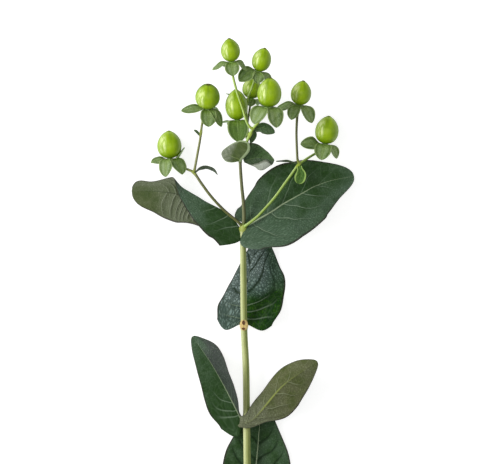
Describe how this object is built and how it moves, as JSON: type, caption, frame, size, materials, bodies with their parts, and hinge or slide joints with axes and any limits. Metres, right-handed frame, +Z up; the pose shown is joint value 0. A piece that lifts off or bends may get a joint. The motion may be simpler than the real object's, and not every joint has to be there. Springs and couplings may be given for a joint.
{
  "type": "hypericum berry stem",
  "caption": "Cut leafy stem of hypericum lying on its side, with paired oval leaves and an open head of glossy green berries on bent-back sepals.",
  "frame": {"origin": "middle of the bounding box in plan, on the surface that the stem lies on", "axes": "+Y along the stem from its cut end to the topmost berry, +Z up from the surface, +X to the right as seen from above"},
  "size_m": [0.1113, 0.3011, 0.0359],
  "materials": {
    "stem_green": "fresh green stem, satin, paler on its lit side",
    "branch_olive": "olive-brown flower stalk, satin",
    "branch_green": "light green flower stalk, satin",
    "leaf_upper": "dark blue-green leaf upper side with pale sunken veins, soft sheen",
    "leaf_under": "grey-green leaf underside with a yellow-green raised midrib, matt",
    "sepal_green": "mid-green sepal, paler at its margin and veins, matt",
    "berry_green": "glossy yellow-green berry skin"
  },
  "bodies": {
    "root": {"main_stem": "stem_green", "centre_branch": "stem_green", "left_branch": "branch_olive", "right_branch": "branch_green", "pedicel_1": "branch_green", "pedicel_2": "branch_olive", "pedicel_3": "branch_olive", "pedicel_4": "branch_olive", "pedicel_6": "branch_olive", "pedicel_9": "branch_olive", "berry_1": "berry_green", "berry_2": "berry_green", "berry_3": "berry_green", "berry_4": "berry_green", "berry_5": "berry_green", "berry_6": "berry_green", "berry_7": "berry_green", "berry_8": "berry_green", "berry_9": "berry_green", "calyx_1": "sepal_green", "calyx_2": "sepal_green", "calyx_3": "sepal_green", "calyx_4": "sepal_green", "calyx_5": "sepal_green", "calyx_6": "sepal_green", "calyx_7": "sepal_green", "calyx_8": "sepal_green", "calyx_9": "sepal_green", "leaf_top_right": "leaf_upper", "leaf_behind_middle": "leaf_upper", "leaf_lower_left": "leaf_upper", "leaf_behind_bottom": "leaf_upper", "leaf_top_left": "leaf_under", "leaf_lower_right": "leaf_under", "bract_centre_left": "leaf_under", "bract_centre_right": "leaf_upper", "bract_upper_fork": "leaf_upper", "bract_upper_fork_small": "leaf_upper", "bract_left_fork": "leaf_upper", "bract_right_fork_narrow": "leaf_upper", "bract_right_fork_round": "sepal_green", "bract_left_pedicel": "branch_green"}
  },
  "joints": []
}
